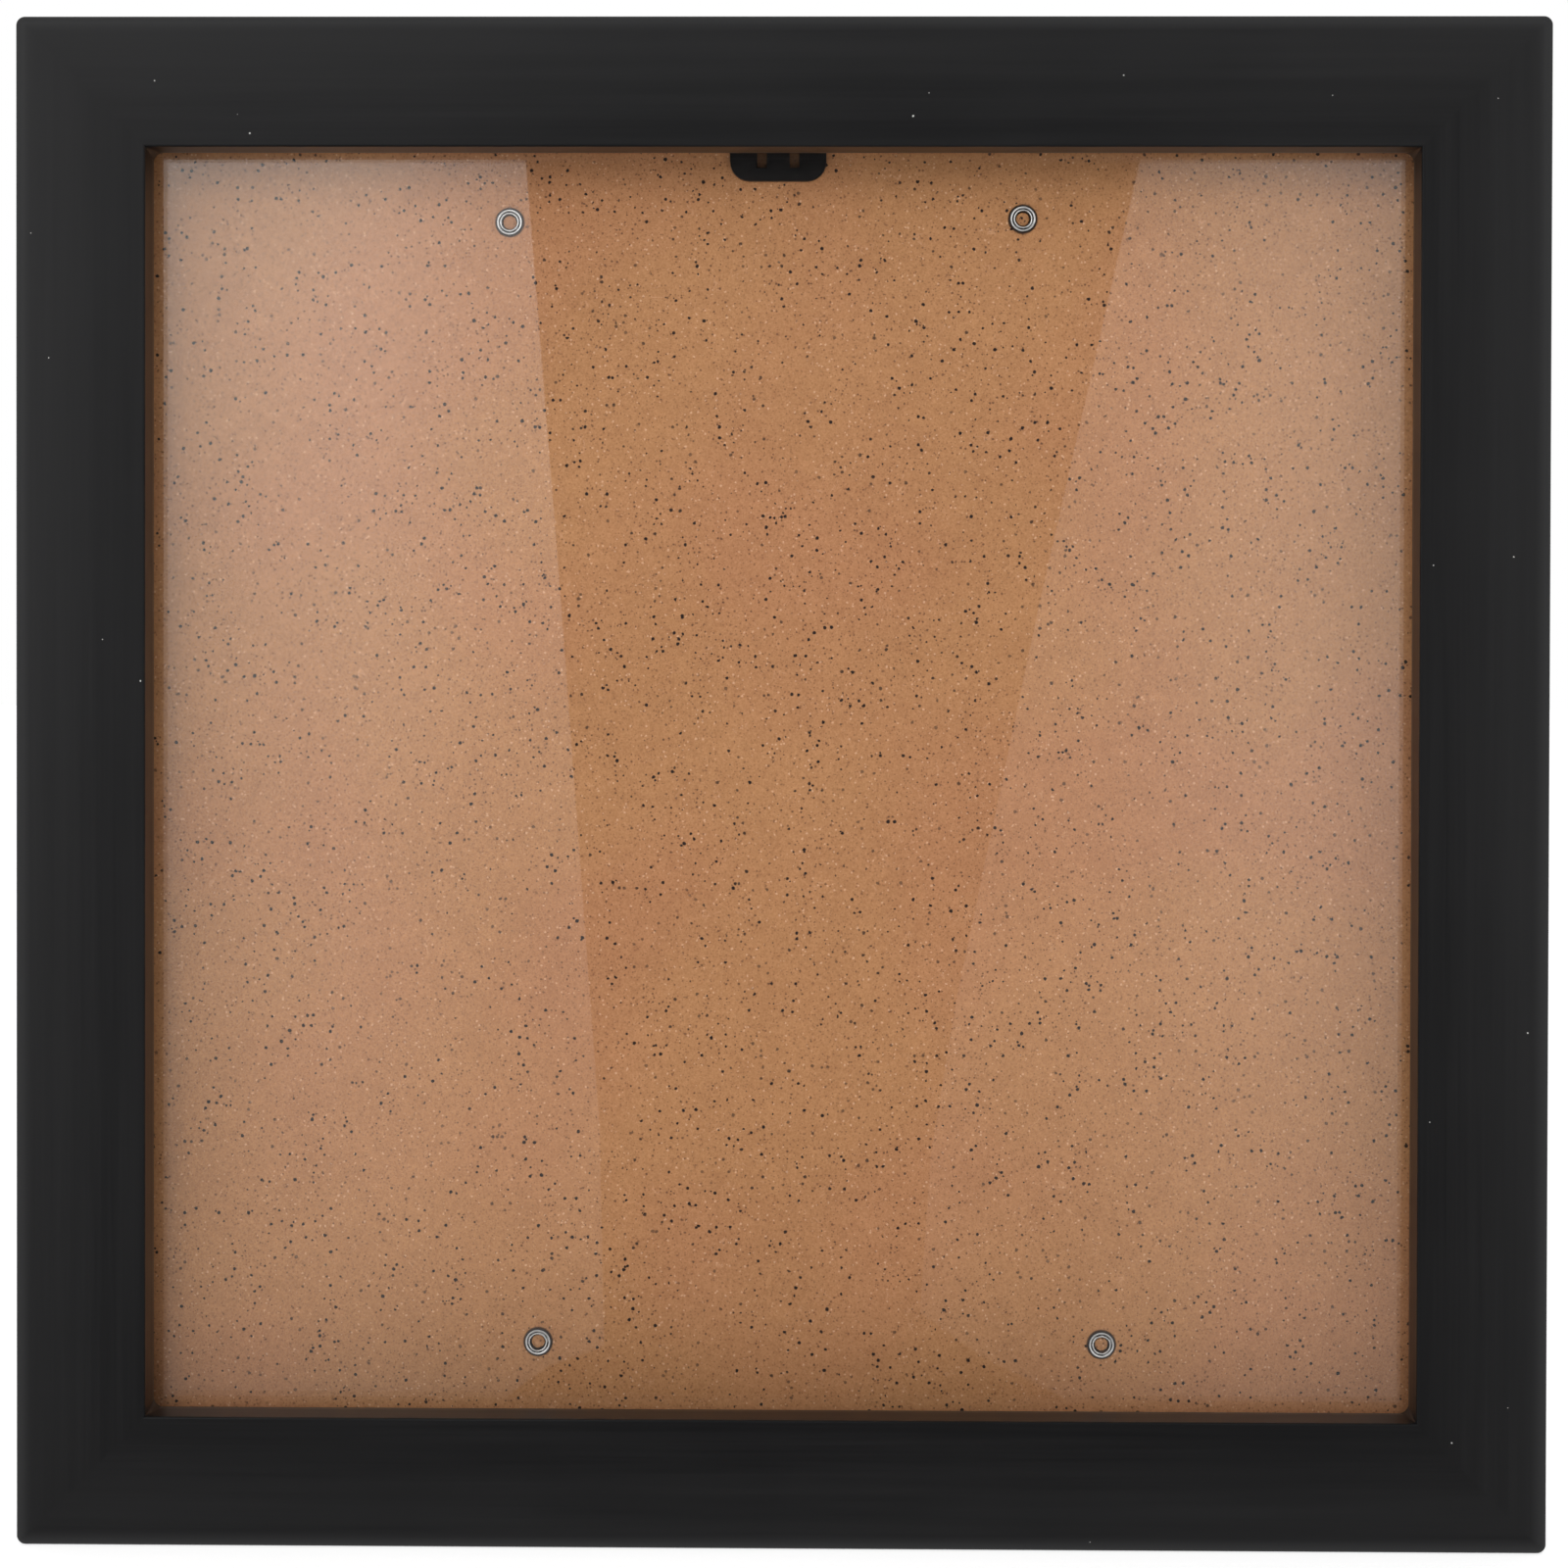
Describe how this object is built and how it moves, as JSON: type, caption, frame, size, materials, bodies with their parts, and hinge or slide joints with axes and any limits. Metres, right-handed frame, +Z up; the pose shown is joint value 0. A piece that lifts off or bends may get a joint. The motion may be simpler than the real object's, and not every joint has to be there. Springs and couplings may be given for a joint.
{
  "type": "shadow box",
  "caption": "Square deep-rebate shadow box with a black mitred moulding, clear pane, spacer strips and a hardboard back held by riveted turn buttons, with a moulded wall hanger.",
  "frame": {"origin": "middle of the bottom rail's underside, at the middle of the box's width and depth", "axes": "+Z up, -Y out through the glass towards the viewer, +X to the viewer's right; +Y is the short front-to-back way"},
  "size_m": [0.292, 0.035, 0.292],
  "materials": {
    "black_moulding": "satin black paint on wood, faint grain along each length",
    "clear_glass": "clear float glass",
    "black_strip": "matt black stained strip",
    "hardboard": "raw brown hardboard with dark specks and fine fibres",
    "plated_steel": "bright zinc plate",
    "black_plastic": "moulded, satin"
  },
  "bodies": {
    "frame": {"rail_top": "black_moulding", "rail_bottom": "black_moulding", "stile_left": "black_moulding", "stile_right": "black_moulding", "glass_pane": "clear_glass", "spacer_top": "black_strip", "spacer_bottom": "black_strip", "spacer_left": "black_strip", "spacer_right": "black_strip", "v_nail_top_left": "plated_steel", "v_nail_top_right": "plated_steel", "v_nail_bottom_left": "plated_steel", "v_nail_bottom_right": "plated_steel"},
    "back_panel": {"backboard": "hardboard", "punched_plug_top_left": "hardboard", "punched_plug_top_right": "hardboard", "punched_plug_bottom_left": "hardboard", "punched_plug_bottom_right": "hardboard", "rivet_top_left": "plated_steel", "rivet_top_right": "plated_steel", "rivet_bottom_left": "plated_steel", "rivet_bottom_right": "plated_steel", "wall_hanger": "black_plastic"},
    "button_top_left": {"turn_button_top_left": "plated_steel"},
    "button_top_right": {"turn_button_top_right": "plated_steel"},
    "button_bottom_left": {"turn_button_bottom_left": "plated_steel"},
    "button_bottom_right": {"turn_button_bottom_right": "plated_steel"}
  },
  "joints": [
    {"name": "back_panel_slide", "type": "slide", "parent": "frame", "child": "back_panel", "axis": [0, 1, 0], "range_m": [0, 0.06]},
    {"name": "button_top_left_turn", "type": "hinge", "parent": "back_panel", "child": "button_top_left", "pos_m": [-0.0541, 0.0107, 0.2559], "axis": [0, 1, 0], "continuous": true},
    {"name": "button_top_right_turn", "type": "hinge", "parent": "back_panel", "child": "button_top_right", "pos_m": [0.0473, 0.0107, 0.2566], "axis": [0, 1, 0], "continuous": true},
    {"name": "button_bottom_left_turn", "type": "hinge", "parent": "back_panel", "child": "button_bottom_left", "pos_m": [-0.0482, 0.0107, 0.034], "axis": [0, 1, 0], "continuous": true},
    {"name": "button_bottom_right_turn", "type": "hinge", "parent": "back_panel", "child": "button_bottom_right", "pos_m": [0.0635, 0.0107, 0.034], "axis": [0, 1, 0], "continuous": true}
  ]
}
